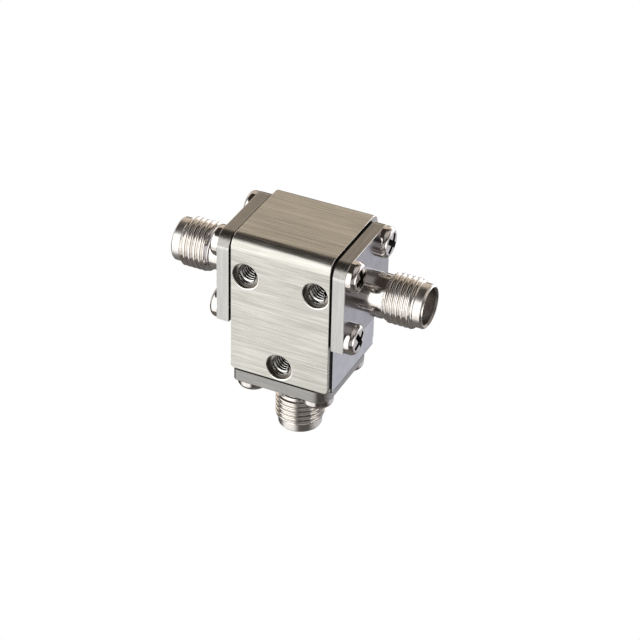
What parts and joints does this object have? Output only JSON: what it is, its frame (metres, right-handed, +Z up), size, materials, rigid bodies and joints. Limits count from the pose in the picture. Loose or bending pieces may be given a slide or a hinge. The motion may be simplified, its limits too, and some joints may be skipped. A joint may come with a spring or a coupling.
{
  "type": "rf circulator",
  "caption": "Small T-shaped coaxial circulator: brushed bent-sheet body with flanged, threaded coaxial ports on the sides and foot, and tapped mounting holes in front.",
  "frame": {"origin": "on the flat front mounting face, midway between the side ports and level with their axis", "axes": "+X towards the right port, +Y from the mounting face into the body, +Z up, away from the bottom port"},
  "size_m": [0.034, 0.0136, 0.0293],
  "materials": {
    "cover": "nickel plate, brushed across the ports",
    "housing": "plain machined, plated",
    "connector_shell": "polished stainless steel",
    "insulator": "white fluoropolymer",
    "contact": "gold plated",
    "flange_screw": "polished stainless steel",
    "conductor": "gold plated strip",
    "ferrite": "ground dark ferrite",
    "pole_piece": "soft iron",
    "magnet": "sintered magnet"
  },
  "bodies": {
    "root": {"cover": "cover", "housing": "housing", "left_connector_shell": "connector_shell", "right_connector_shell": "connector_shell", "bottom_connector_shell": "connector_shell", "left_insulator": "insulator", "right_insulator": "insulator", "bottom_insulator": "insulator", "left_contact": "contact", "right_contact": "contact", "bottom_contact": "contact", "left_flange_screws": "flange_screw", "right_flange_screws": "flange_screw", "bottom_flange_screws": "flange_screw", "center_conductor": "conductor", "front_ferrite": "ferrite", "back_ferrite": "ferrite", "front_pole_piece": "pole_piece", "back_pole_piece": "pole_piece", "front_magnet": "magnet", "back_magnet": "magnet"}
  },
  "joints": []
}
